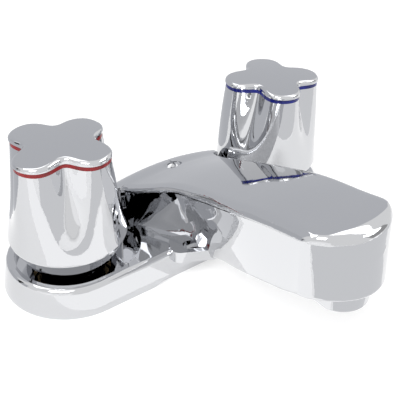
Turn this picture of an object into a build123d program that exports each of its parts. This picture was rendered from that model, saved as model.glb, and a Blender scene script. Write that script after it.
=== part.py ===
# Two-handle centerset basin faucet on 4 inch centres, in millimetres.
# +X runs from the hot side to the cold side, the spout points along -Y and +Z is up.
# The origin is on the deck, midway between the two handle axes.
from build123d import *
import math
import os

# Deck, base and handle spacing
centres = 101.6
base_radius = 26.9
base_top_radius = 24.6
base_height = 12.0
base_edge_fillet = 2.4
recess_radius = 21.6
recess_floor_z = 8.5
recess_reach = 7.2
gasket_thickness = 1.6
gasket_inset = 1.4
deck_thickness = 20.0
overrun = 30.0
steep_share = 0.8
edge_middle_share = 0.5

# Spout and bridge outline, as shares of the spout's length and half width
spout_reach = 104.5
spout_half_width = 19.2
top_tip_share = 0.962
lower_tip_share = 1.05
front_share = 0.922
top_front_width_share = 0.93
lower_front_width_share = 0.90
station_y_shares = (0.04, -0.01, -0.077, -0.153, -0.23, -0.325, -0.44, -0.555, -0.69, -0.823)
top_width_shares = (1.34, 1.19, 1.01, 0.87, 0.79, 0.81, 0.895, 0.985, 0.955, 0.905)
lower_width_shares = (1.28, 1.09, 0.80, 0.54, 0.36, 0.33, 0.44, 0.57, 0.65, 0.74)
hull_back_y = 9.0
hull_low_z = 4.0
hull_high_z = 62.0
tip_zone_share = 0.8

# Crowned top surface: height at the tip and the shares of it along the spout
tip_height = 61.2
crown_radius = 110.0
slab_half_width = 60.0
slab_back_y = 27.0
crest_y_shares = (
    0.172, 0.134, 0.096, 0.029, -0.086, -0.22, -0.354, -0.478, -0.555, -0.64, -0.746, -0.86, -0.95, -1.04)
crest_height_shares = (
    0.34, 0.425, 0.485, 0.522, 0.567, 0.626, 0.724, 0.824, 0.884, 0.931, 0.97, 0.995, 1.01, 1.018)
slab_back_height = 13.0
slab_front_share = 1.12
slab_front_height_share = 1.022
top_edge_fillet = 2.5
crest_edge_z = 40.0
tip_corner_fillet = 8.0

# Underside of the spout, as shares of the reach and of the outlet height
outlet_face_z = 36.0
underside_start_z = 3.6
underside_y_shares = (0.30, 0.345, 0.40, 0.48, 0.575, 0.69, 0.79, 0.88, 0.96)
underside_z_shares = (0.18, 0.283, 0.387, 0.50, 0.628, 0.765, 0.88, 0.985, 1.04)
underside_front_share = 1.08
lower_edge_fillet = 1.6

# Bridge behind the handles
pocket_radius = 25.5
wing_front_y = 4.0
wing_inset = 0.5

# Arched relief in the front of the base
relief_half_width = 29.0
relief_height = 4.6
relief_depth = 1.2

# Chain-stay lug at the left of the spout root
lug_x = -9.6
lug_y = -27.0
lug_length = 21.0
lug_width = 11.0
lug_corner = 4.0
lug_turn = -26.0
lug_bottom_z = 8.6
lug_top_z = 13.6
lug_slot_length = 11.0
lug_slot_width = 5.0
lug_slot_depth = 3.4
lug_slot_forward = 0.9

# Pop-up rod hole and its plug button
rod_y = 2.6
rod_hole_radius = 3.2
rod_hole_floor_z = 9.0
plug_head_radius = 3.8
plug_head_height = 1.3
plug_leg_length = 7.0
plug_seat_z = 31.6
plug_clearance = 0.1
plug_bore_radius = 1.6
plug_cross_width = 0.9
plug_cross_depth = 0.8
plug_cross_share = 1.3

# Valve tower, chamber and shank socket in the casting
tower_radius = 13.0
tower_top_z = 24.0
chamber_radius = 9.8
chamber_floor_z = 4.0
inlet_hole_radius = 4.5
boss_radius = 13.0
boss_bottom_z = -8.0
socket_top_z = 0.5
fit_clearance = 0.05

# Waterways in the casting
cross_bore_radius = 2.4
cross_bore_y = -6.0
cross_bore_z = 5.1
spout_bore_radius = 3.6
aerator_share = 0.865
aerator_bore_radius = 9.2
aerator_bore_top_z = 46.0

# Inlet shank, washer and nut
shank_radius = 10.7
supply_radius = 10.45
supply_length = 18.0
shank_bore_radius = 6.0
shank_length = 52.0
shank_chamfer = 1.0
washer_radius = 17.0
washer_thickness = 2.4
nut_across_flats = 31.0
nut_height = 9.0
nut_flange_radius = 17.5
nut_flange_height = 2.4

# Ceramic cartridge
housing_radius = 8.2
housing_neck_radius = 7.0
housing_collar_radius = 12.4
housing_collar_height = 2.4
housing_top_z = 34.0
housing_bore_radius = 4.3
housing_skirt_bore_radius = 7.4
housing_shoulder_z = 19.4
window_width = 6.0
window_bottom_z = 12.6
window_height = 4.6
seat_seal_height = 2.2
seat_seal_radius = 7.2
seat_seal_bore_radius = 4.2
disc_radius = 7.2
disc_thickness = 2.9
disc_port_radius = 2.3
disc_port_offset = 3.6
disc_gap = 0.02
oring_wire_radius = 0.9
housing_oring_z = 21.6
land_bottom_z = 18.0
bonnet_across_flats = 26.0
bonnet_wall = 3.4
bonnet_outer_radius = 15.2
bonnet_top_lip = 2.0
bonnet_height = 7.0
bonnet_thread_clearance = 0.05

# Stem
stem_radius = 4.25
stem_drive_radius = 7.1
drive_clearance = 0.2
stem_spline_radius = 3.6
stem_spline_z = 36.0
stem_top_z = 49.0
stem_spline_count = 12
stem_spline_groove = 0.45
stem_oring_z = 29.0
stem_oring_wire_radius = 0.8
stem_tap_radius = 1.7
stem_tap_depth = 11.0

# Handle
handle_bottom_z = 12.4
handle_rim_z = 22.0
handle_top_z = 56.6
handle_bottom_radius = 17.7
handle_rim_radius = 22.6
handle_mean_radius = 17.0
lobe_share = 0.235
lobe_sharp_share = -0.04
lobe_count = 4
lobe_turn = 25.0
skirt_z_shares = (0.0, 0.80, 0.91)
skirt_radius_shares = (0.0, 0.84, 0.955)
section_z_shares = (0.0, 0.25, 0.5, 0.75, 1.0)
section_lobe_shares = (0.0, 0.14, 0.44, 0.75, 1.0)
section_radius_shares = (0.0, 0.20, 0.46, 0.74, 1.0)
outline_points = 24
handle_wall = 2.0
handle_cavity_top_z = 35.4
hub_clearance = 0.06
screw_seat_z = 51.0
screw_hole_radius = 2.1
cap_socket_radius = 6.2

# Index ring, cap and handle screw
ring_thickness = 1.7
cap_thickness = 2.5
cap_edge_fillet = 1.35
cap_dome_radius = 220.0
cap_grow = 0.3
cap_spigot_radius = 6.1
cap_spigot_length = 2.2
screw_head_radius = 3.9
screw_head_height = 2.6
screw_shank_radius = 1.65
screw_length = 10.0
screw_slot_width = 1.1
screw_slot_depth = 1.2

# Aerator
aerator_radius = 10.4
aerator_collar_height = 5.7
aerator_neck_length = 7.0
aerator_bore = 7.6
aerator_outlet_radius = 6.8
aerator_lip = 1.0
aerator_flat_width = 18.6
aerator_flat_height = 2.6
screen_thickness = 1.4
screen_hole_radius = 0.55
screen_hole_counts = (1, 6, 12, 18)
screen_ring_shares = (0.0, 0.3, 0.58, 0.84)
aerator_washer_thickness = 1.5
aerator_washer_bore = 5.6

sides = (("hot", -1), ("cold", 1))
front_y = -front_share * spout_reach
slab_front_y = -slab_front_share * spout_reach
tip_zone_y = -tip_zone_share * spout_reach
aerator_y = -aerator_share * spout_reach


def axis_x(sign):
    return sign * centres / 2


def disc(radius, low, high, x=0.0, y=0.0):
    """Upright cylinder between two heights."""
    body = Cylinder(radius, high - low, align=(Align.CENTER, Align.CENTER, Align.MIN))
    return Pos(x, y, low) * body


def tube(outer, inner, low, high):
    return disc(outer, low, high) - disc(inner, low - overrun, high + overrun)


def hexagon(across_flats, low, high):
    profile = RegularPolygon(across_flats / math.sqrt(3), 6)
    return extrude(Plane.XY.offset(low) * profile, amount=high - low)


def torus_ring(major, wire, z):
    return Pos(0, 0, z) * Torus(major, wire)


# Casting

def plan_outline(width_shares, front_width_share, tip_share, z):
    """Closed plan outline of bridge and spout at one height."""
    ys = [share * spout_reach for share in station_y_shares] + [front_y]
    widths = [share * spout_half_width for share in width_shares]
    widths.append(front_width_share * spout_half_width)
    left = [(-w, y) for w, y in zip(widths, ys)]
    right = [(w, y) for w, y in zip(widths, ys)][::-1]
    back = [right[-1], (widths[0], hull_back_y), (-widths[0], hull_back_y), left[0]]
    with BuildSketch(Plane.XY.offset(z)) as sketch:
        with BuildLine():
            Spline(*left)
            ThreePointArc(left[-1], (0, -tip_share * spout_reach), right[0])
            Spline(*right)
            Polyline(*back)
        make_face()
    return sketch.sketch.face()


def crowned_slab():
    """Solid whose upper face is the crowned top of bridge and spout."""
    sag = crown_radius - math.sqrt(crown_radius ** 2 - slab_half_width ** 2)
    ys = [slab_back_y] + [share * spout_reach for share in crest_y_shares] + [slab_front_y]
    crests = [slab_back_height] + [share * tip_height for share in crest_height_shares]
    crests.append(slab_front_height_share * tip_height)
    sections = []
    for y, crest in zip(ys, crests):
        edge = crest - sag
        with BuildSketch(Plane(origin=(0, y, 0), x_dir=(1, 0, 0), z_dir=(0, -1, 0))) as sketch:
            with BuildLine():
                ThreePointArc((-slab_half_width, edge), (0, crest), (slab_half_width, edge))
                Polyline((slab_half_width, edge), (slab_half_width, -overrun),
                         (-slab_half_width, -overrun), (-slab_half_width, edge))
            make_face()
        sections.append(sketch.sketch.face())
    return loft(sections)


def underside_cutter():
    """Prism under the spout, ahead of the base."""
    front = -base_radius
    points = [(front, underside_start_z)]
    for y_share, z_share in zip(underside_y_shares, underside_z_shares):
        points.append((-y_share * spout_reach, z_share * outlet_face_z))
    points.append((slab_front_y, underside_front_share * outlet_face_z))
    profile_plane = Plane(origin=(-slab_half_width, 0, 0), x_dir=(0, 1, 0), z_dir=(1, 0, 0))
    with BuildSketch(profile_plane) as sketch:
        with BuildLine():
            Spline(*points)
            Polyline(points[-1], (slab_front_y, -overrun), (front, -overrun), points[0])
        make_face()
    return extrude(sketch.sketch, amount=2 * slab_half_width)


def base_block():
    """Drafted stadium that the handles stand on."""
    low = SlotCenterToCenter(centres, 2 * base_radius).face()
    high = (Plane.XY.offset(base_height) * SlotCenterToCenter(centres, 2 * base_top_radius)).face()
    block = loft([low, high], ruled=True)
    top_edges = block.edges().group_by(Axis.Z)[-1]
    return fillet(top_edges, base_edge_fillet)


def hull():
    """Spout with its bridge, narrower below than above."""
    low = plan_outline(lower_width_shares, lower_front_width_share, lower_tip_share, hull_low_z)
    high = plan_outline(top_width_shares, top_front_width_share, top_tip_share, hull_high_z)
    blank = loft([low, high], ruled=True) & crowned_slab()
    solid = (blank - underside_cutter()).solid()
    corners = [edge for edge in solid.edges()
               if edge.center().Y < tip_zone_y and abs(edge.tangent_at(edge_middle_share).Z) > steep_share
               and abs(edge.center().X) > spout_half_width / 2]
    solid = fillet(corners, tip_corner_fillet)
    upper = [edge for edge in solid.edges()
             if edge.center().Z > crest_edge_z and edge.center().Y < -edge_middle_share * spout_reach / 2
             and abs(edge.tangent_at(edge_middle_share).Z) < steep_share]
    solid = fillet(upper, top_edge_fillet)
    lower = [edge for edge in solid.edges()
             if edge.center().Z < crest_edge_z and edge.center().Y < -edge_middle_share * spout_reach
             and edge.length > spout_half_width]
    return fillet(lower, lower_edge_fillet)


def wings():
    """Bridge behind the two handles, sloping down to the base ends."""
    inner_radius = base_top_radius - wing_inset
    stadium = extrude(SlotCenterToCenter(centres, 2 * inner_radius), amount=hull_high_z)
    region = Pos(0, wing_front_y, 0) * Box(centres, inner_radius, hull_high_z,
                                           align=(Align.CENTER, Align.MIN, Align.MIN))
    solid = stadium & region & crowned_slab()
    for name, sign in sides:
        solid = solid - disc(pocket_radius, -overrun, hull_high_z + overrun, x=axis_x(sign))
    return solid.solids().sort_by(SortBy.VOLUME)[-1]


def recess(sign):
    """Oval recess around one handle."""
    inner_x = axis_x(sign) - sign * recess_reach
    pocket = disc(recess_radius, recess_floor_z, base_height + overrun, x=axis_x(sign))
    inner = disc(recess_radius, recess_floor_z, base_height + overrun, x=inner_x)
    link = Pos((axis_x(sign) + inner_x) / 2, 0, recess_floor_z) * Box(
        recess_reach, 2 * recess_radius, base_height + overrun,
        align=(Align.CENTER, Align.CENTER, Align.MIN))
    return pocket + inner + link


def front_relief():
    """Arched relief low in the front wall of the base."""
    half = relief_half_width
    plane = Plane(origin=(0, -base_radius + relief_depth, 0), x_dir=(1, 0, 0), z_dir=(0, -1, 0))
    with BuildSketch(plane) as sketch:
        with BuildLine():
            ThreePointArc((-half, -fit_clearance), (0, relief_height), (half, -fit_clearance))
            Line((half, -fit_clearance), (-half, -fit_clearance))
        make_face()
    return extrude(sketch.sketch, amount=2 * relief_depth)


def lug():
    """Rounded ledge with a slot for a plug chain's eyelet."""
    place = Pos(lug_x, lug_y, lug_bottom_z) * Rot(0, 0, lug_turn)
    tab = extrude(RectangleRounded(lug_length, lug_width, lug_corner), amount=lug_top_z - lug_bottom_z)
    return place * tab


def lug_slot():
    place = Pos(lug_x, lug_y, lug_top_z - lug_slot_depth) * Rot(0, 0, lug_turn)
    slot = SlotOverall(lug_slot_length, lug_slot_width)
    return place * Pos(0, -lug_slot_forward, 0) * extrude(slot, amount=lug_slot_depth + overrun)


def waterways():
    """Chambers, shank sockets, cross bore, spout bore and outlet bore."""
    cuts = [disc(aerator_bore_radius, -overrun, aerator_bore_top_z, y=aerator_y)]
    cuts.append(disc(aerator_radius + plug_clearance, -overrun, outlet_face_z, y=aerator_y))
    for name, sign in sides:
        x = axis_x(sign)
        cuts.append(disc(chamber_radius, chamber_floor_z, tower_top_z + overrun, x=x))
        cuts.append(disc(inlet_hole_radius, socket_top_z - fit_clearance, tower_top_z, x=x))
        cuts.append(disc(shank_radius + fit_clearance, boss_bottom_z - overrun, socket_top_z, x=x))
    cross = Pos(0, cross_bore_y, cross_bore_z) * Rot(0, 90, 0) * Cylinder(cross_bore_radius, centres)
    cuts.append(cross)
    start = Vector(0, cross_bore_y, cross_bore_z)
    finish = Vector(0, aerator_y, aerator_bore_top_z - spout_bore_radius)
    path = finish - start
    plane = Plane(origin=start, z_dir=path)
    cuts.append(plane * Cylinder(spout_bore_radius, path.length,
                                 align=(Align.CENTER, Align.CENTER, Align.MIN)))
    return cuts


def body_casting():
    shell = base_block()
    for name, sign in sides:
        shell = shell - recess(sign)
    bridge = hull() + wings()
    shell = (shell + lug() - lug_slot()) + bridge
    for name, sign in sides:
        x = axis_x(sign)
        shell = shell + disc(tower_radius, chamber_floor_z, tower_top_z, x=x)
        shell = shell + disc(boss_radius, boss_bottom_z, chamber_floor_z, x=x)
    stadium = SlotCenterToCenter(centres, 2 * (base_radius - gasket_inset))
    seat = extrude(stadium, amount=gasket_thickness)
    for name, sign in sides:
        seat = seat - disc(boss_radius, -overrun, overrun, x=axis_x(sign))
    shell = shell - seat - front_relief()
    for cut in waterways():
        shell = shell - cut
    shell = shell - disc(plug_head_radius + plug_clearance, plug_seat_z, hull_high_z, y=rod_y)
    return shell - disc(rod_hole_radius, rod_hole_floor_z, hull_high_z, y=rod_y)


# Fixed pieces in and under the casting

def base_gasket():
    stadium = SlotCenterToCenter(centres, 2 * (base_radius - gasket_inset - fit_clearance))
    sheet = extrude(stadium, amount=gasket_thickness)
    for name, sign in sides:
        sheet = sheet - disc(boss_radius + fit_clearance, -overrun, overrun, x=axis_x(sign))
    return sheet


def rod_hole_plug():
    """Domed button on a split leg that snaps into the rod hole."""
    leg_radius = rod_hole_radius - plug_clearance
    leg = disc(leg_radius, plug_seat_z - plug_leg_length, plug_seat_z + plug_clearance, y=rod_y)
    leg = leg - disc(plug_bore_radius, plug_seat_z - plug_leg_length - overrun, plug_seat_z, y=rod_y)
    dome_radius = (plug_head_radius ** 2 + plug_head_height ** 2) / (2 * plug_head_height)
    ball = Pos(0, rod_y, plug_seat_z + plug_head_height - dome_radius) * Sphere(dome_radius)
    cap = ball & disc(2 * plug_head_radius, plug_seat_z, plug_seat_z + overrun, y=rod_y)
    head = cap
    for turn in (0, 90):
        bar = Box(plug_cross_share * plug_head_radius, plug_cross_width, 2 * plug_cross_depth)
        head = head - Pos(0, rod_y, plug_seat_z + plug_head_height) * Rot(0, 0, turn) * bar
    return head + leg


def inlet_shank():
    """Brass tube with a clamping thread above and a supply thread below."""
    low = -shank_length
    step = low + supply_length
    rod = disc(shank_radius, step, socket_top_z) + disc(supply_radius, low, step)
    rod = rod - disc(shank_bore_radius, low - overrun, overrun)
    return chamfer(rod.edges().group_by(Axis.Z)[0], shank_chamfer)


def mounting_washer():
    top = -deck_thickness
    return tube(washer_radius, shank_radius + plug_clearance, top - washer_thickness, top)


def mounting_nut():
    top = -deck_thickness - washer_thickness
    flange = disc(nut_flange_radius, top - nut_flange_height, top)
    grip = hexagon(nut_across_flats, top - nut_height, top - nut_flange_height)
    return flange + grip - disc(shank_radius + fit_clearance, -shank_length, overrun)


def cartridge_housing():
    low = chamber_floor_z + seat_seal_height - disc_gap
    skirt = disc(housing_radius, low, tower_top_z)
    collar = disc(housing_collar_radius, tower_top_z, tower_top_z + housing_collar_height)
    neck = disc(housing_neck_radius, tower_top_z, housing_top_z)
    solid = skirt + disc(chamber_radius - fit_clearance, land_bottom_z, tower_top_z) + collar + neck
    solid = solid - disc(housing_bore_radius, -overrun, housing_top_z + overrun)
    solid = solid - disc(housing_skirt_bore_radius, -overrun, housing_shoulder_z)
    window = Pos(0, 0, window_bottom_z) * Box(2 * chamber_radius, window_width, window_height,
                                              align=(Align.CENTER, Align.CENTER, Align.MIN))
    solid = solid - window
    groove = tube(chamber_radius + overrun, chamber_radius - 2 * oring_wire_radius,
                  housing_oring_z - oring_wire_radius, housing_oring_z + oring_wire_radius)
    return solid - groove


def housing_oring():
    wire = oring_wire_radius - fit_clearance
    return torus_ring(chamber_radius - oring_wire_radius, wire, housing_oring_z)


def bonnet_nut():
    """Hexagon cap nut that holds the cartridge down on its tower."""
    seat = tower_top_z + housing_collar_height
    top = seat + bonnet_top_lip
    solid = hexagon(bonnet_across_flats + bonnet_wall, top - bonnet_height, top)
    solid = solid & disc(bonnet_outer_radius, top - bonnet_height, top)
    solid = solid - disc(tower_radius + bonnet_thread_clearance, -overrun, seat)
    return solid - disc(housing_neck_radius + plug_clearance, -overrun, top + overrun)


def seat_seal():
    top = chamber_floor_z + seat_seal_height - disc_gap
    return tube(seat_seal_radius, seat_seal_bore_radius, chamber_floor_z, top)


def ported_disc(low):
    """Ceramic disc with two ports opposite each other."""
    plate = disc(disc_radius, low, low + disc_thickness)
    for side in (-1, 1):
        plate = plate - disc(disc_port_radius, -overrun, overrun, x=side * disc_port_offset)
    return plate


def fixed_disc():
    return ported_disc(chamber_floor_z + seat_seal_height)


def aerator_housing():
    collar_low = outlet_face_z - aerator_collar_height
    solid = disc(aerator_radius, collar_low, outlet_face_z)
    neck_radius = aerator_bore_radius - fit_clearance
    solid = solid + disc(neck_radius, outlet_face_z, outlet_face_z + aerator_neck_length)
    solid = fillet(solid.edges().group_by(Axis.Z)[0], aerator_lip / 2)
    flats = Box(2 * aerator_radius, 2 * aerator_radius, aerator_flat_height,
                align=(Align.CENTER, Align.CENTER, Align.MIN))
    keep = Box(aerator_flat_width, 2 * aerator_radius, aerator_flat_height,
               align=(Align.CENTER, Align.CENTER, Align.MIN))
    solid = solid - Pos(0, 0, collar_low) * (flats - keep)
    solid = solid - disc(aerator_bore, collar_low + aerator_lip, outlet_face_z + overrun)
    solid = solid - disc(aerator_outlet_radius, -overrun, outlet_face_z)
    return Pos(0, aerator_y, 0) * solid


def aerator_screen():
    low = outlet_face_z - aerator_collar_height + aerator_lip
    plate = disc(aerator_bore - fit_clearance, low, low + screen_thickness)
    holes = []
    for count, share in zip(screen_hole_counts, screen_ring_shares):
        for index in range(count):
            angle = 2 * math.pi * index / count
            reach = share * aerator_outlet_radius
            holes.append(disc(screen_hole_radius, low - overrun, low + overrun,
                              x=reach * math.cos(angle), y=reach * math.sin(angle)))
    return Pos(0, aerator_y, 0) * (plate - holes)


def aerator_washer():
    low = outlet_face_z + aerator_neck_length
    ring = tube(aerator_bore_radius - fit_clearance, aerator_washer_bore, low, low + aerator_washer_thickness)
    return Pos(0, aerator_y, 0) * ring


# Pieces that turn with a handle

def moving_disc():
    return ported_disc(chamber_floor_z + seat_seal_height + disc_thickness + disc_gap)


def stem():
    low = chamber_floor_z + seat_seal_height + 2 * disc_thickness + disc_gap
    drive = disc(stem_drive_radius, low, housing_shoulder_z - drive_clearance)
    shaft = disc(stem_radius, low, stem_spline_z)
    spline = disc(stem_spline_radius, stem_spline_z, stem_top_z)
    for index in range(stem_spline_count):
        angle = 2 * math.pi * index / stem_spline_count
        spline = spline - disc(stem_spline_groove, stem_spline_z, stem_top_z + overrun,
                               x=stem_spline_radius * math.cos(angle), y=stem_spline_radius * math.sin(angle))
    solid = drive + shaft + spline
    groove = tube(stem_radius + overrun, stem_radius - 2 * stem_oring_wire_radius,
                  stem_oring_z - stem_oring_wire_radius, stem_oring_z + stem_oring_wire_radius)
    return solid - groove - disc(stem_tap_radius, stem_top_z - stem_tap_depth, stem_top_z + overrun)


def stem_oring():
    wire = stem_oring_wire_radius - fit_clearance
    return torus_ring(stem_radius - stem_oring_wire_radius, wire, stem_oring_z)


def lobed_outline(mean, lobe_scale, z, sign, grow=0.0):
    """Closed outline: a plain circle at lobe scale 0 and the four-lobed top at 1."""
    points = []
    for index in range(outline_points):
        angle = 2 * math.pi * index / outline_points
        lobes = lobe_share * math.cos(lobe_count * angle)
        lobes = lobes + lobe_sharp_share * math.cos(2 * lobe_count * angle)
        radius = mean * (1 + lobe_scale * lobes) + grow
        points.append((radius * math.cos(angle), radius * math.sin(angle)))
    with BuildSketch(Plane.XY.offset(z)) as sketch:
        with BuildLine():
            Spline(*points, periodic=True)
        make_face()
    return Rot(0, 0, -sign * lobe_turn) * sketch.sketch.face()


def handle(sign):
    """Hollow chrome knob that flares from four lobes at the top to a round rim."""
    sections = []
    for z_share, lobe_scale, radius_share in zip(section_z_shares, section_lobe_shares, section_radius_shares):
        z = handle_rim_z + z_share * (handle_top_z - handle_rim_z)
        mean = handle_rim_radius + radius_share * (handle_mean_radius - handle_rim_radius)
        sections.append(lobed_outline(mean, lobe_scale, z, sign))
    skirt_sections = []
    for z_share, radius_share in zip(skirt_z_shares, skirt_radius_shares):
        z = handle_bottom_z + z_share * (handle_rim_z - handle_bottom_z)
        radius = handle_bottom_radius + radius_share * (handle_rim_radius - handle_bottom_radius)
        skirt_sections.append(lobed_outline(radius, 0, z, sign))
    knob = loft(sections) + loft(skirt_sections + [sections[0]], ruled=True)
    low_radius = handle_bottom_radius - handle_wall
    cavity = disc(low_radius, handle_bottom_z - overrun, handle_cavity_top_z)
    hub_bore = disc(stem_spline_radius + hub_clearance, handle_bottom_z, stem_top_z + hub_clearance)
    knob = knob - cavity - hub_bore
    knob = knob - disc(stem_radius + hub_clearance, handle_bottom_z, stem_spline_z + hub_clearance)
    knob = knob - disc(screw_hole_radius, handle_bottom_z, handle_top_z)
    return knob - disc(cap_socket_radius, screw_seat_z, handle_top_z + overrun)


def index_ring(sign):
    outline = lobed_outline(handle_mean_radius, 1, handle_top_z, sign)
    plate = extrude(outline, amount=ring_thickness)
    return plate - disc(cap_socket_radius, -overrun, handle_top_z + overrun)


def handle_cap(sign):
    low = handle_top_z + ring_thickness
    outline = lobed_outline(handle_mean_radius, 1, low, sign, grow=cap_grow)
    dome = Pos(0, 0, low + cap_thickness - cap_dome_radius) * Sphere(cap_dome_radius)
    plate = extrude(outline, amount=cap_thickness) & dome
    crown = plate.faces().sort_by(Axis.Z)[-1]
    plate = fillet(crown.edges(), cap_edge_fillet)
    return plate + disc(cap_spigot_radius, low - cap_spigot_length, low + cap_thickness / 2)


def handle_screw():
    head = disc(screw_head_radius, screw_seat_z, screw_seat_z + screw_head_height)
    shank = disc(screw_shank_radius, screw_seat_z - screw_length, screw_seat_z)
    solid = head + shank
    for turn in (0, 90):
        slot = Rot(0, 0, turn) * Box(screw_head_radius, screw_slot_width, 2 * screw_slot_depth)
        solid = solid - Pos(0, 0, screw_seat_z + screw_head_height) * slot
    return solid


def write(name, solid, x=0.0):
    shape = Pos(x, 0, 0) * solid
    shape.label = name
    export_step(shape, "parts/" + name + ".step")


def main():
    os.makedirs("parts", exist_ok=True)
    write("body_casting", body_casting())
    write("base_gasket", base_gasket())
    write("rod_hole_plug", rod_hole_plug())
    write("aerator_housing", aerator_housing())
    write("aerator_screen", aerator_screen())
    write("aerator_washer", aerator_washer())
    plain = (inlet_shank, mounting_washer, mounting_nut, cartridge_housing, housing_oring, bonnet_nut,
             seat_seal, fixed_disc, moving_disc, stem, stem_oring, handle_screw)
    mirrored = (handle, index_ring, handle_cap)
    for make in plain:
        solid = make()
        for side, sign in sides:
            write(side + "_" + make.__name__, solid, axis_x(sign))
    for make in mirrored:
        for side, sign in sides:
            write(side + "_" + make.__name__, make(sign), axis_x(sign))


main()
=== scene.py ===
# Looks of a two-handle centerset basin faucet, in metres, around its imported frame.
import bpy
import bmesh
import math
import numpy as np
from mathutils import Matrix, Vector


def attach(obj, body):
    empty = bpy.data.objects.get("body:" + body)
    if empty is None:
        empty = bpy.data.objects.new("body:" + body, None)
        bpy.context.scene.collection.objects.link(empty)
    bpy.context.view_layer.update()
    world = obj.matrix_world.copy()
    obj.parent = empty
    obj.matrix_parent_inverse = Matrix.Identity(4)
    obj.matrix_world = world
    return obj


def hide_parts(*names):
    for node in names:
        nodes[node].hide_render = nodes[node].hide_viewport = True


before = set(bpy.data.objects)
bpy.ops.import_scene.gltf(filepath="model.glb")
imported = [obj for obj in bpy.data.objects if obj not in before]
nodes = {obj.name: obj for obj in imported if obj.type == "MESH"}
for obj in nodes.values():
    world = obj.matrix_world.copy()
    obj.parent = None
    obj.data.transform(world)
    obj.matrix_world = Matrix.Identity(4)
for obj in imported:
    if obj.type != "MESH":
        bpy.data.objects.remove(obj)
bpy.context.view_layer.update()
sides = ("hot", "cold")

# Camera of the photograph
camera_place = Vector((-0.1344, -0.1859, 0.1731))
camera_target = Vector((0.002395, -0.013746, 0.02197))
camera_roll = math.radians(1.99)
camera_lens = 58.15
camera_sensor = 36.0
camera_clip = 0.01


# Materials

smudge_scale, smudge_low, smudge_high = 60.0, 0.35, 0.75
ripple_scale, ripple_detail, ripple_height = 25.0, 1.0, 0.0005
pool_scale, pool_low, pool_high = 180.0, 0.35, 0.7
grain_low, grain_high, grain_strength, grain_height = 0.3, 0.7, 0.15, 0.0002


def material(name):
    """New node material with its tree and its shader."""
    made = bpy.data.materials.new(name + "_finish")
    made.use_nodes = True
    tree = made.node_tree
    shader = tree.nodes["Principled BSDF"]
    return made, tree, shader


def set_values(shader, **values):
    for name, value in values.items():
        shader.inputs[name.replace("_", " ")].default_value = value


def noise(tree, scale, detail=4.0, roughness=0.5):
    """Noise in the object's own metres."""
    place = tree.nodes.new("ShaderNodeTexCoord")
    node = tree.nodes.new("ShaderNodeTexNoise")
    node.inputs["Scale"].default_value = scale
    node.inputs["Detail"].default_value = detail
    node.inputs["Roughness"].default_value = roughness
    tree.links.new(place.outputs["Object"], node.inputs["Vector"])
    return node


def ramp(tree, source, low, high, low_colour, high_colour):
    node = tree.nodes.new("ShaderNodeValToRGB")
    node.color_ramp.elements[0].position = low
    node.color_ramp.elements[0].color = low_colour
    node.color_ramp.elements[1].position = high
    node.color_ramp.elements[1].color = high_colour
    tree.links.new(source, node.inputs["Fac"])
    return node


def grey(value):
    return (value, value, value, 1.0)


def bump(tree, shader, source, strength, distance):
    node = tree.nodes.new("ShaderNodeBump")
    node.inputs["Strength"].default_value = strength
    node.inputs["Distance"].default_value = distance
    tree.links.new(source, node.inputs["Height"])
    tree.links.new(node.outputs["Normal"], shader.inputs["Normal"])
    return node


def chrome(name, colour=(0.60, 0.606, 0.622, 1.0), gloss=0.02, smudge=0.03, ripple=0.003):
    """Bright plating with faint smudges in its gloss and a slow ripple in its surface."""
    made, tree, shader = material(name)
    set_values(shader, Base_Color=colour, Metallic=1.0)
    smudges = noise(tree, scale=smudge_scale)
    levels = ramp(tree, smudges.outputs["Fac"], smudge_low, smudge_high, grey(gloss), grey(gloss + smudge))
    tree.links.new(levels.outputs["Color"], shader.inputs["Roughness"])
    waves = noise(tree, scale=ripple_scale, detail=ripple_detail)
    bump(tree, shader, waves.outputs["Fac"], ripple, ripple_height)
    return made


def acrylic(name, colour, deep):
    """Glossy moulded ring, deeper in colour where the noise pools."""
    made, tree, shader = material(name)
    set_values(shader, Roughness=0.15, Specular_IOR_Level=0.35)
    set_values(shader, Coat_Weight=0.15, Coat_Roughness=0.05)
    pools = noise(tree, scale=pool_scale)
    tint = ramp(tree, pools.outputs["Fac"], pool_low, pool_high, deep, colour)
    tree.links.new(tint.outputs["Color"], shader.inputs["Base Color"])
    return made


def plain(name, colour, spread, roughness, grain, metallic=0.0):
    """Matt or satin material with a grain in colour and surface."""
    made, tree, shader = material(name)
    set_values(shader, Metallic=metallic, Roughness=roughness)
    speckle = noise(tree, scale=grain)
    darker = tuple(channel * (1 - spread) for channel in colour[:3]) + (1.0,)
    tint = ramp(tree, speckle.outputs["Fac"], grain_low, grain_high, darker, colour)
    tree.links.new(tint.outputs["Color"], shader.inputs["Base Color"])
    bump(tree, shader, speckle.outputs["Fac"], grain_strength, grain_height)
    return made


finishes = {
    "chrome_casting": chrome("chrome_casting"),
    "chrome_handle": chrome("chrome_handle", gloss=0.015),
    "hot_index": acrylic("hot_index", (0.30, 0.004, 0.006, 1.0), (0.13, 0.001, 0.003, 1.0)),
    "cold_index": acrylic("cold_index", (0.004, 0.014, 0.24, 1.0), (0.001, 0.004, 0.09, 1.0)),
    "black_rubber": plain("black_rubber", (0.03, 0.03, 0.032, 1.0), 0.4, 0.6, 900.0),
    "black_plastic": plain("black_plastic", (0.035, 0.035, 0.038, 1.0), 0.3, 0.4, 700.0),
    # brass darker than its own colour: partly brass, partly painted shade for the deep handle recesses
    # where the nuts show
    "brass": plain("brass", (0.52, 0.37, 0.18, 1.0), 0.22, 0.33, 300.0, metallic=1.0),
    "ceramic": plain("ceramic", (0.80, 0.79, 0.76, 1.0), 0.05, 0.2, 500.0),
    "steel_mesh": plain("steel_mesh", (0.62, 0.62, 0.64, 1.0), 0.15, 0.3, 600.0, metallic=1.0),
    "steel_screw": plain("steel_screw", (0.60, 0.60, 0.62, 1.0), 0.15, 0.25, 600.0, metallic=1.0),
}


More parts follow.
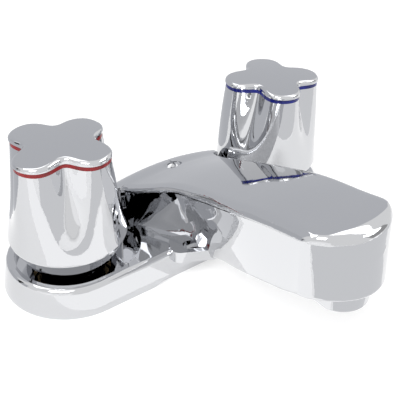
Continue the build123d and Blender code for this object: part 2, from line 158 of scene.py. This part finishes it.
def dress_nodes():
    """Each frame node brings one plain material, named as its slot, and gets the finish of that slot."""
    for piece in nodes.values():
        piece.data.materials[0] = finishes[piece.data.materials[0].name]


# Broad plate of the spout, drawn out from the casting's own mesh

millimetre = 0.001
half_width_unit = 19.2
plate_y = (4.2, -1.0, -8.0, -16.0, -24.0, -34.0, -46.0, -58.0, -72.1, -86.0, -104.5)
top_width_shares = (1.34, 1.19, 1.01, 0.87, 0.79, 0.81, 0.895, 0.985, 0.955, 0.905, 0.93)
low_width_shares = (1.28, 1.09, 0.80, 0.54, 0.36, 0.33, 0.44, 0.57, 0.65, 0.74, 0.90)
broad_top_width_shares = (1.27, 1.34, 1.445, 1.47, 1.44, 1.344, 1.229, 1.135, 1.036, 0.975, 0.98)
broad_low_width_shares = (1.25, 1.07, 0.75, 0.47, 0.285, 0.28, 0.35, 0.49, 0.60, 0.735, 0.92)
low_width_z, top_width_z = 4.0, 62.0

# Middle line of the top, on the solid and on the broad plate, in shares of the reach and the tip's height.
# The rounded edge of the tip takes off what the solid's line has above rounded_tip_z.
spout_reach, tip_height = 104.5, 61.2
crest_y_shares = (0.172, 0.134, 0.096, 0.029, -0.086, -0.22, -0.354, -0.478, -0.555, -0.64,
                  -0.746, -0.86, -0.95, -1.04, -1.12)
crest_height_shares = (0.34, 0.425, 0.485, 0.522, 0.567, 0.626, 0.724, 0.824, 0.884, 0.931,
                       0.97, 0.995, 1.01, 1.018, 1.022)
broad_crest_height_shares = (0.34, 0.425, 0.485, 0.522, 0.595, 0.691, 0.7745, 0.8415, 0.8815, 0.92,
                             0.956, 0.987, 1.004, 1.014, 1.022)
rounded_tip_z = 61.3
rise_start_y, rise_onset = 3.0, 6.0
crown_y = (-9.0, -23.0, -37.0, -50.0, -104.5)
crown_shares = (1.0, 0.7, 0.6, 0.5, 0.5)
crown_radius = 110.0
foot_z, foot_y, foot_slope, most_lift = 10.0, -30.0, 0.5, 1.05
side_falloff = 6.0
width_onset, base_low_z, base_blend = 4.0, 1.0, 4.0
base_front_y, base_front_blend = -28.0, 3.0
tip_pull, corner_pull, pull_start_y, pull_span, most_sideways = 0.3, 5.6, -78.0, 21.0, 1.1
outlet_y, outlet_clear, outlet_blend = -90.4, 10.9, 1.7
outlet_low_z, outlet_high_z = 46.0, 54.0
top_front_y, lip_drop, lip_width, lip_start_y, lip_onset = -99.3, 1.0, 5.5, -10.0, 30.0
longest_edge, most_passes = 1.6, 6
fine_low_z, fine_half_width, fine_back_y = 6.0, 26.0, 8.0
slope_step, same_point_digits = 0.01, 4


def curve(along, heights, slopes, y):
    """Smooth curve with the given heights and slopes at its stations along the spout."""
    place = np.clip(-y, along[0], along[-1])
    index = np.clip(np.searchsorted(along, place) - 1, 0, len(along) - 2)
    span = along[index + 1] - along[index]
    t = (place - along[index]) / span
    start = (1 + 2 * t) * (1 - t) ** 2 * heights[index] + t * (1 - t) ** 2 * span * slopes[index]
    end = t * t * (3 - 2 * t) * heights[index + 1] + t * t * (t - 1) * span * slopes[index + 1]
    return start + end


def through(stations, values, y):
    """Curve through a table whose stations run towards the tip, its slopes taken from neighbours."""
    along = -np.asarray(stations, dtype=float)
    heights = np.asarray(values, dtype=float)
    return curve(along, heights, np.gradient(heights, along), y)


def spline_slopes(along, heights):
    """Slopes at the stations that make the curve a natural cubic spline."""
    gaps = np.diff(along)
    steps = np.diff(heights) / gaps
    count = len(along)
    system = np.zeros((count, count))
    right = np.zeros(count)
    system[0, :2] = 2, 1
    right[0] = 3 * steps[0]
    system[-1, -2:] = 1, 2
    right[-1] = 3 * steps[-1]
    for k in range(1, count - 1):
        system[k, k - 1:k + 2] = gaps[k], 2 * (gaps[k] + gaps[k - 1]), gaps[k - 1]
        right[k] = 3 * (gaps[k] * steps[k - 1] + gaps[k - 1] * steps[k])
    return np.linalg.solve(system, right)


def crest_line(height_shares, y):
    """Height of the plate's middle line, level behind the place where the broad plate starts."""
    along = -np.asarray(crest_y_shares) * spout_reach
    heights = np.asarray(height_shares) * tip_height
    return curve(along, heights, spline_slopes(along, heights), np.minimum(y, rise_start_y))


def smooth(t):
    held = np.clip(t, 0.0, 1.0)
    return held * held * (3 - 2 * held)


def half_widths(low_shares, top_shares, y, level):
    """Half widths of the ruled sides at each y, from the low table at level 0 to the top one at 1."""
    low = through(plate_y, low_shares, y)
    return half_width_unit * (low + level * (through(plate_y, top_shares, y) - low))


def broaden(points):
    """Where the casting's points go when its plate gets its full width and height, in millimetres."""
    x, y, z = points[:, 0], points[:, 1], points[:, 2]
    level = np.clip((z - low_width_z) / (top_width_z - low_width_z), 0.0, 1.0)
    half = half_widths(low_width_shares, top_width_shares, y, level)
    broad = half_widths(broad_low_width_shares, broad_top_width_shares, y, level)
    reach = np.abs(x)
    inner = np.minimum(reach / half, 1.0)
    outer = 1.0 - smooth((reach - half) / side_falloff)
    above_base = smooth((z - base_low_z) / base_blend)
    past_base = smooth((base_front_y - y) / base_front_blend)
    onset = smooth((plate_y[0] - y) / width_onset) * np.maximum(above_base, past_base)
    new_x = x + np.sign(x) * (broad - half) * inner * outer * onset

    sharp_crest = crest_line(crest_height_shares, y)
    rise = crest_line(broad_crest_height_shares, y) - sharp_crest
    crest = np.minimum(sharp_crest, rounded_tip_z)
    old_top = crest - x * x / (2 * crown_radius)
    crown = through(crown_y, crown_shares, y)
    new_top = crest + rise - crown * new_x * new_x / (2 * crown_radius)
    foot = foot_z + np.maximum(foot_y - y, 0.0) * foot_slope
    lifted = np.clip((z - foot) / (old_top - foot), 0.0, most_lift) * outer
    new_z = z + (new_top - old_top) * lifted * smooth((rise_start_y - y) / rise_onset)

    sideways = np.minimum(np.abs(new_x) / half_width_unit, most_sideways) ** 2
    from_outlet = smooth((np.hypot(x, y - outlet_y) - outlet_clear) / outlet_blend)
    above_outlet = smooth((z - outlet_low_z) / (outlet_high_z - outlet_low_z))
    pull = smooth((pull_start_y - y) / pull_span) * np.maximum(from_outlet, above_outlet)
    new_y = y + (tip_pull + corner_pull * sideways) * pull

    front = top_front_y + corner_pull * sideways
    from_side = smooth(1.0 - (broad - np.abs(new_x)) / lip_width)
    from_front = smooth(1.0 - (new_y - front) / lip_width)
    rim = (from_side + from_front - from_side * from_front) * smooth((lip_start_y - y) / lip_onset)
    new_z = new_z - lip_drop * rim * rim * smooth((z - old_top + lip_width) / lip_width)
    return np.stack([new_x, new_y, new_z], axis=1)


def turn_normals(points, normals):
    """Normals after the move, by the inverse of its slopes at each point."""
    columns = []
    for axis in range(3):
        offset = np.zeros(3)
        offset[axis] = slope_step
        columns.append((broaden(points + offset) - broaden(points - offset)) / (2 * slope_step))
    inverse = np.linalg.inv(np.stack(columns, axis=2))
    turned = np.einsum("nji,nj->ni", inverse, normals)
    return turned / np.linalg.norm(turned, axis=1)[:, None]


def divide(points, normals):
    """Cut each marked triangle edge in two; a side is marked by its own ends, so neighbours agree."""
    ends = points[:, (1, 2, 0)]
    middle = (points + ends) / 2
    zone = ((middle[:, :, 2] > fine_low_z) & (np.abs(middle[:, :, 0]) < fine_half_width)
            & (middle[:, :, 1] < fine_back_y))
    marked = (np.linalg.norm(ends - points, axis=2) > longest_edge) & zone
    between = normals + normals[:, (1, 2, 0)]
    between /= np.linalg.norm(between, axis=2)[:, :, None]
    count = marked.sum(axis=1)
    kept_points, kept_normals = [points[count == 0]], [normals[count == 0]]

    def gather(chosen, turn, fans):
        """Triangles from corners 0, 1, 2 and side middles 3, 4, 5, after turning each face."""
        order = [(turn + k) % 3 for k in range(3)]
        places = np.concatenate([points[chosen][:, order], middle[chosen][:, order]], axis=1)
        aims = np.concatenate([normals[chosen][:, order], between[chosen][:, order]], axis=1)
        for fan in fans:
            kept_points.append(places[:, fan])
            kept_normals.append(aims[:, fan])

    for turn in range(3):
        first = marked[:, turn]
        second = marked[:, (turn + 1) % 3]
        gather((count == 1) & first, turn, ((0, 3, 2), (3, 1, 2)))
        gather((count == 2) & first & second, turn, ((3, 1, 4), (0, 3, 4), (0, 4, 2)))
    gather(count == 3, 0, ((0, 3, 5), (3, 1, 4), (5, 4, 2), (3, 4, 5)))
    return np.concatenate(kept_points), np.concatenate(kept_normals), int(marked.sum())


def triangles_of(mesh):
    """Corner places in millimetres and corner normals, a row for each triangle."""
    mesh.calc_loop_triangles()
    places = np.empty(len(mesh.vertices) * 3)
    mesh.vertices.foreach_get("co", places)
    aims = np.empty(len(mesh.loops) * 3)
    mesh.corner_normals.foreach_get("vector", aims)
    vertex_index = np.empty(len(mesh.loop_triangles) * 3, dtype=np.int32)
    mesh.loop_triangles.foreach_get("vertices", vertex_index)
    loop_index = np.empty(len(mesh.loop_triangles) * 3, dtype=np.int32)
    mesh.loop_triangles.foreach_get("loops", loop_index)
    points = places.reshape(-1, 3)[vertex_index].reshape(-1, 3, 3) / millimetre
    return points, aims.reshape(-1, 3)[loop_index].reshape(-1, 3, 3)


def add_piece(name, mesh, finish):
    """Object of the mesh in the scene, with one finish."""
    mesh.materials.append(finish)
    piece = bpy.data.objects.new(name, mesh)
    bpy.context.scene.collection.objects.link(piece)
    return piece


def broad_casting():
    """Copy of the casting's mesh with the broad plate, its normals turned by the same move."""
    source = nodes["body_casting"]
    points, normals = triangles_of(source.data)
    for _ in range(most_passes):
        points, normals, cuts = divide(points, normals)
        if not cuts:
            break
    flat = points.reshape(-1, 3)
    turned = turn_normals(flat, normals.reshape(-1, 3)).reshape(-1, 3, 3)
    rounded = np.round(flat, same_point_digits)
    _, first, member = np.unique(rounded, axis=0, return_index=True, return_inverse=True)
    member = member.reshape(-1, 3)
    whole = (member[:, 0] != member[:, 1]) & (member[:, 1] != member[:, 2]) & (member[:, 2] != member[:, 0])
    mesh = bpy.data.meshes.new("broad_casting")
    mesh.from_pydata((broaden(flat[first]) * millimetre).tolist(), [], member[whole].tolist())
    mesh.polygons.foreach_set("use_smooth", [True] * len(mesh.polygons))
    mesh.normals_split_custom_set(turned[whole].reshape(-1, 3).tolist())
    piece = add_piece("spout_and_base_casting", mesh, finishes["chrome_casting"])
    piece.matrix_world = source.matrix_world.copy()
    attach(piece, "root")
    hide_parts("body_casting")


# Threaded shanks under the deck

shank_axis_x = 50.8
shank_low, shank_top, supply_step = -52.0, 0.5, -34.0
clamp_radius, supply_radius, shank_bore = 10.7, 10.45, 6.0
thread_pitch, thread_depth = 1.814, 0.95
thread_end, thread_runout = -8.5, 2.0
relief_half, shank_chamfer = 0.8, 1.1
around, per_pitch = 64, 8
thread_profile = (0.0, 0.0, 0.5, 1.0, 1.0, 1.0, 0.5, 0.0)
weld_distance, end_tolerance = 1e-4, 1e-3


def thread_radius(z, row):
    """Radius of the shank at a height, on the given row of the thread's profile."""
    if abs(z - supply_step) < relief_half:
        radius = supply_radius - thread_depth
    else:
        crest = supply_radius if z < supply_step else clamp_radius
        fade = min(max((thread_end - z) / thread_runout, 0.0), 1.0)
        radius = crest - thread_depth * fade * thread_profile[row % per_pitch]
    return min(radius, supply_radius - shank_chamfer + (z - shank_low))


def thread_grid():
    """Points and faces of the thread: the columns climb one pitch a turn, so the crests run true."""
    rows = int((shank_top - shank_low) / thread_pitch * per_pitch) + 2 * per_pitch
    verts, faces = [], []
    for column in range(around):
        angle = 2 * math.pi * column / around
        for row in range(rows):
            z = shank_low + (row / per_pitch + column / around - 1) * thread_pitch
            z = min(max(z, shank_low), shank_top)
            radius = thread_radius(z, row)
            verts.append((radius * math.cos(angle), radius * math.sin(angle), z))
    for column in range(around):
        other = (column + 1) % around
        shift = 0 if other else per_pitch
        for row in range(rows - 1 - shift):
            a = column * rows + row
            b = other * rows + row + shift
            faces.append((a, b, b + 1, a + 1))
    return verts, faces


def end_rings(made, open_verts, z):
    """The thread's end at a height, in order round the axis, and new points of the bore there."""
    outer = [vert for vert in open_verts if abs(vert.co.z - z) < end_tolerance]
    outer.sort(key=lambda vert: math.atan2(vert.co.y, vert.co.x))
    bore = []
    for vert in outer:
        turn = math.atan2(vert.co.y, vert.co.x)
        bore.append(made.verts.new((shank_bore * math.cos(turn), shank_bore * math.sin(turn), z)))
    return outer, bore


def threaded_shank(side, x_sign):
    """Closed tube with a helical thread, in the place of the plain shank."""
    verts, faces = thread_grid()
    made = bmesh.new()
    grid = [made.verts.new(vert) for vert in verts]
    for face in faces:
        made.faces.new([grid[k] for k in face])
    bmesh.ops.remove_doubles(made, verts=made.verts[:], dist=weld_distance)
    bmesh.ops.dissolve_degenerate(made, edges=made.edges[:], dist=weld_distance)
    open_verts = {vert for edge in made.edges if edge.is_boundary for vert in edge.verts}
    low_outer, low_bore = end_rings(made, open_verts, shank_low)
    top_outer, top_bore = end_rings(made, open_verts, shank_top)
    for k in range(around):
        n = (k + 1) % around
        made.faces.new((low_outer[k], low_bore[k], low_bore[n], low_outer[n]))
        made.faces.new((low_bore[k], top_bore[k], top_bore[n], low_bore[n]))
        made.faces.new((top_bore[k], top_outer[k], top_outer[n], top_bore[n]))
    bmesh.ops.recalc_face_normals(made, faces=made.faces[:])
    for vert in made.verts:
        vert.co = (vert.co + Vector((x_sign * shank_axis_x, 0, 0))) * millimetre
    mesh = bpy.data.meshes.new(side + "_threaded_shank")
    made.to_mesh(mesh)
    made.free()
    piece = add_piece(side + "_threaded_shank", mesh, finishes["brass"])
    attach(piece, "root")
    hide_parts(side + "_inlet_shank")


# Studio: cards by name, place, colour and strength; azimuth 0 is the back of the scene, 90 its right

white = (1.0, 1.0, 1.0, 1.0)
wall_grey = (0.66, 0.67, 0.70, 1.0)
wall_corners = ((-1.0, 0.9, -0.02), (2.6, 0.9, -0.02), (2.6, 1.1, 1.75), (-1.0, 1.1, 1.75))
sky_cards = (
    ("left_band", (-78, -28), (-12, 26), 1.3, (0.60, 0.61, 0.64, 1.0), 1.0),
    ("left_softbox", (-80, 24), (44, 64), 0.9, white, 2.2),
    ("top_softbox", (-150, -105), (48, 68), 1.2, white, 2.1),
    ("left_streak", (-66, -58), (-10, 30), 1.2, grey(0.03), 1.0),
    ("right_grey", (108, 150), (8, 42), 1.2, grey(0.42), 1.0),
    ("right_softbox", (58, 122), (44, 60), 0.9, white, 2.2),
    ("right_low_softbox", (128, 156), (-18, 5), 1.1, white, 1.7),
    ("front_left_softbox", (-150, -96), (-12, 16), 1.3, white, 1.25),
)
floor_cards = (
    ("back_floor", (-1.0, 1.6), (0.06, 0.9), wall_grey, 1.0),
    ("low_reflector", (-0.4, -0.02), (-0.11, -0.03), white, 1.4),
    ("front_floor", (-0.12, 0.7), (-0.7, -0.115), (0.90, 0.905, 0.92, 1.0), 1.0),
)
floor_card_z, floor_half, floor_grey, floor_glow = 0.001, 3.0, 0.55, 0.5
world_light, world_seen = 0.6, 1.0
lamps = (("key", (-0.6, -0.4, 0.9), 8.0), ("fill", (0.7, -0.5, 0.7), 3.0))
lamp_size = 0.5


def stage_material(name, colour, strength):
    """Matt surface that also glows, so it stays pale and still takes a shadow."""
    made, tree, shader = material(name)
    set_values(shader, Base_Color=colour, Roughness=0.9)
    set_values(shader, Emission_Color=white, Emission_Strength=strength)
    return made


def card(name, corners, finish, camera_sees=False):
    """Flat studio card from its corners."""
    mesh = bpy.data.meshes.new(name)
    mesh.from_pydata([tuple(corner) for corner in corners], [], [tuple(range(len(corners)))])
    piece = bpy.data.objects.new(name, mesh)
    bpy.context.scene.collection.objects.link(piece)
    mesh.materials.append(finish)
    piece.visible_camera = camera_sees
    piece.visible_shadow = camera_sees
    piece.visible_diffuse = camera_sees


def glow(name, colour, strength):
    """Card material of one even brightness."""
    made = bpy.data.materials.new(name)
    made.use_nodes = True
    tree = made.node_tree
    tree.nodes.remove(tree.nodes["Principled BSDF"])
    shine = tree.nodes.new("ShaderNodeEmission")
    shine.inputs["Color"].default_value = colour
    shine.inputs["Strength"].default_value = strength
    tree.links.new(shine.outputs["Emission"], tree.nodes["Material Output"].inputs["Surface"])
    return made


def sky_card(name, azimuths, elevations, distance, finish):
    """Card that fills a range of directions."""
    corners = []
    for azimuth, elevation in ((0, 0), (1, 0), (1, 1), (0, 1)):
        turn = math.radians(azimuths[azimuth])
        rise = math.radians(elevations[elevation])
        flat = distance * math.cos(rise)
        corners.append((flat * math.sin(turn), flat * math.cos(turn), distance * math.sin(rise)))
    card(name, corners, finish)


def level_card(name, x_range, y_range, z, finish, camera_sees=False):
    """Card that lies flat."""
    x_low, x_high = x_range
    y_low, y_high = y_range
    corners = [(x_low, y_low, z), (x_high, y_low, z), (x_high, y_high, z), (x_low, y_high, z)]
    card(name, corners, finish, camera_sees)


def add_world():
    world = bpy.data.worlds.new("studio")
    bpy.context.scene.world = world
    world.use_nodes = True
    tree = world.node_tree
    back = tree.nodes["Background"]
    path = tree.nodes.new("ShaderNodeLightPath")
    seen = tree.nodes.new("ShaderNodeMath")
    seen.operation = "MAXIMUM"
    tree.links.new(path.outputs["Is Camera Ray"], seen.inputs[0])
    tree.links.new(path.outputs["Is Glossy Ray"], seen.inputs[1])
    both = tree.nodes.new("ShaderNodeMath")
    both.operation = "MAXIMUM"
    tree.links.new(seen.outputs[0], both.inputs[0])
    tree.links.new(path.outputs["Is Transmission Ray"], both.inputs[1])
    level = tree.nodes.new("ShaderNodeMapRange")
    level.inputs["To Min"].default_value = world_light
    level.inputs["To Max"].default_value = world_seen
    tree.links.new(both.outputs[0], level.inputs["Value"])
    tree.links.new(level.outputs["Result"], back.inputs["Strength"])
    back.inputs["Color"].default_value = white


def add_area(name, place, power):
    """Square lamp that faces the origin."""
    lamp = bpy.data.lights.new(name, "AREA")
    lamp.energy = power
    lamp.size = lamp_size
    piece = bpy.data.objects.new(name, lamp)
    bpy.context.scene.collection.objects.link(piece)
    piece.location = place
    piece.rotation_euler = (-Vector(place)).to_track_quat("-Z", "Y").to_euler()


def add_camera():
    data = bpy.data.cameras.new("camera")
    data.sensor_width = camera_sensor
    data.lens = camera_lens
    data.clip_start = camera_clip
    piece = bpy.data.objects.new("camera", data)
    bpy.context.scene.collection.objects.link(piece)
    forward = (camera_target - camera_place).normalized()
    level_right = forward.cross(Vector((0, 0, 1))).normalized()
    level_up = level_right.cross(forward)
    right = level_right * math.cos(camera_roll) + level_up * math.sin(camera_roll)
    up = level_up * math.cos(camera_roll) - level_right * math.sin(camera_roll)
    turn = Matrix((right, up, -forward)).transposed().to_4x4()
    piece.matrix_world = Matrix.Translation(camera_place) @ turn
    bpy.context.scene.camera = piece


def add_studio():
    bpy.context.scene.view_settings.view_transform = "Standard"
    floor_range = (-floor_half, floor_half)
    floor = stage_material("floor", grey(floor_grey), floor_glow)
    level_card("floor", floor_range, floor_range, 0, floor, camera_sees=True)
    add_world()
    card("back_card", wall_corners, glow("back_card", wall_grey, 1.0))
    for name, x_range, y_range, colour, strength in floor_cards:
        level_card(name, x_range, y_range, floor_card_z, glow(name, colour, strength))
    for name, azimuths, elevations, distance, colour, strength in sky_cards:
        sky_card(name, azimuths, elevations, distance, glow(name, colour, strength))
    for name, place, power in lamps:
        add_area(name, place, power)


dress_nodes()
broad_casting()
for side, x_sign in zip(sides, (-1, 1)):
    threaded_shank(side, x_sign)
add_camera()
add_studio()
